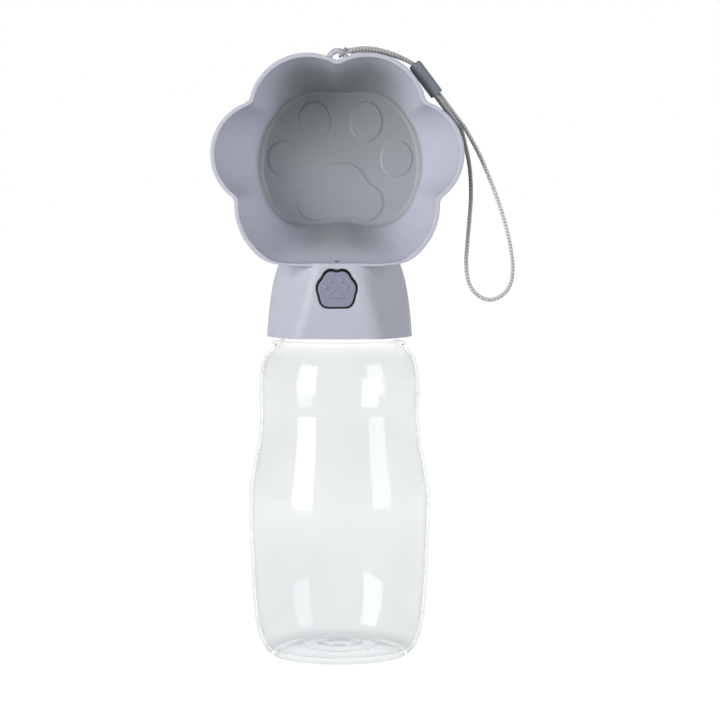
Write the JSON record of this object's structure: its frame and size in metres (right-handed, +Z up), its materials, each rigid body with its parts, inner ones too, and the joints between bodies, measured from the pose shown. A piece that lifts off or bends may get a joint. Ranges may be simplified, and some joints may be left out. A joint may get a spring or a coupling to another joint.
{
  "type": "dog travel water bottle",
  "caption": "Clear screw-neck travel bottle whose moulded head holds a paw-shaped drinking trough, a push-button water valve and a corded wrist lanyard with a slider.",
  "frame": {"origin": "centre of the bottle's base, on the surface it stands on", "axes": "+Z up the bottle, -Y the way the trough and the button face, +X to the side where the lanyard hangs"},
  "size_m": [0.1297, 0.0798, 0.2644],
  "materials": {
    "clear_plastic": "clear, polished",
    "head_plastic": "satin moulded",
    "button_plastic": "satin moulded",
    "white_plastic": "satin moulded",
    "silicone": "soft, translucent white",
    "black_silicone": "soft black",
    "steel": "turned stainless",
    "cord": "braided",
    "slider_silicone": "satin silicone"
  },
  "bodies": {
    "bottle": {"bottle": "clear_plastic"},
    "gasket": {"neck_gasket": "silicone"},
    "head": {"trough_head": "head_plastic", "inner_cap": "white_plastic", "inlet_oring": "silicone", "valve_body": "white_plastic", "valve_screws": "steel", "rear_plug": "white_plastic", "plug_oring": "black_silicone", "front_bush": "white_plastic", "stem_oring": "black_silicone", "return_spring": "steel", "outlet_sleeve": "silicone", "button_seal": "black_silicone", "cord_hitch": "cord", "lanyard_cord": "cord"},
    "button": {"button": "button_plastic", "valve_stem": "steel", "poppet_seal": "silicone"},
    "slider": {"cord_slider": "slider_silicone"}
  },
  "joints": [
    {"name": "head_lift", "type": "slide", "parent": "bottle", "child": "gasket", "axis": [0, 0, 1], "range_m": [0, 0.00601]},
    {"name": "head_unscrew", "type": "hinge", "parent": "gasket", "child": "head", "pos_m": [0, 0, 0.145], "axis": [0, 0, 1], "range_deg": [0, 540]},
    {"name": "button_press", "type": "slide", "parent": "head", "child": "button", "axis": [0, 1, 0], "range_m": [0, 0.0028], "stiffness_N_per_m": 800, "springref_m": -0.0015, "deforming": ["return_spring"]},
    {"name": "slider_shift", "type": "slide", "parent": "head", "child": "slider", "axis": [0.6, 0, -0.8], "range_m": [0, 0.012]}
  ],
  "couplings": [
    {"joint": "head_lift", "follows": "head_unscrew", "m_per_rad": 0.00063662}
  ]
}
